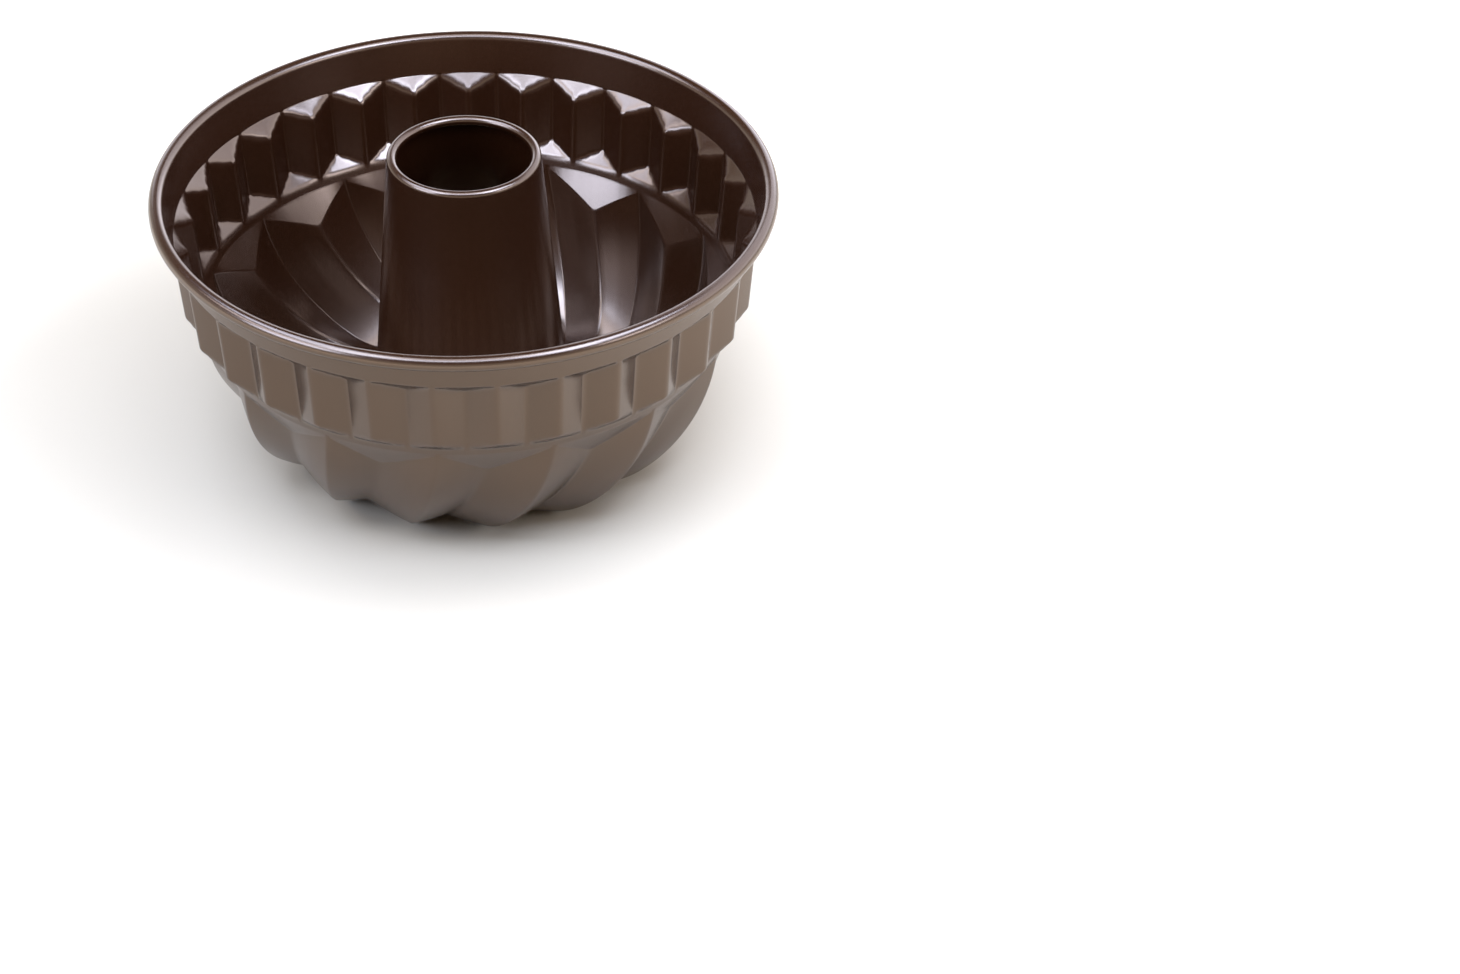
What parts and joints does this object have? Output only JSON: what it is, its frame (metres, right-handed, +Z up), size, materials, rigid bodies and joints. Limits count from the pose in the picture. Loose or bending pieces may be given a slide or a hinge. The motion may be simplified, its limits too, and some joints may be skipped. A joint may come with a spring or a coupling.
{
  "type": "kugelhopf mould",
  "caption": "Ring-cake mould of dark coated sheet steel: swirled flutes under a pleated band, a plain collar with a wired rim, and a tapered open chimney through the middle.",
  "frame": {"origin": "on the standing plane that touches the crests of the flutes, on the axis of the mould", "axes": "+Z runs up the axis of the chimney to the open mouth, and +X goes through the top of a flute ridge at the ring line"},
  "size_m": [0.22, 0.22, 0.1147],
  "materials": {
    "coated_steel": "satin dark brown non-stick coating on pressed sheet steel",
    "bare_wire": "plain drawn steel wire, hidden in the rim"
  },
  "bodies": {
    "root": {"mould_body": "coated_steel", "chimney": "coated_steel", "rim_wire": "bare_wire"}
  },
  "joints": []
}
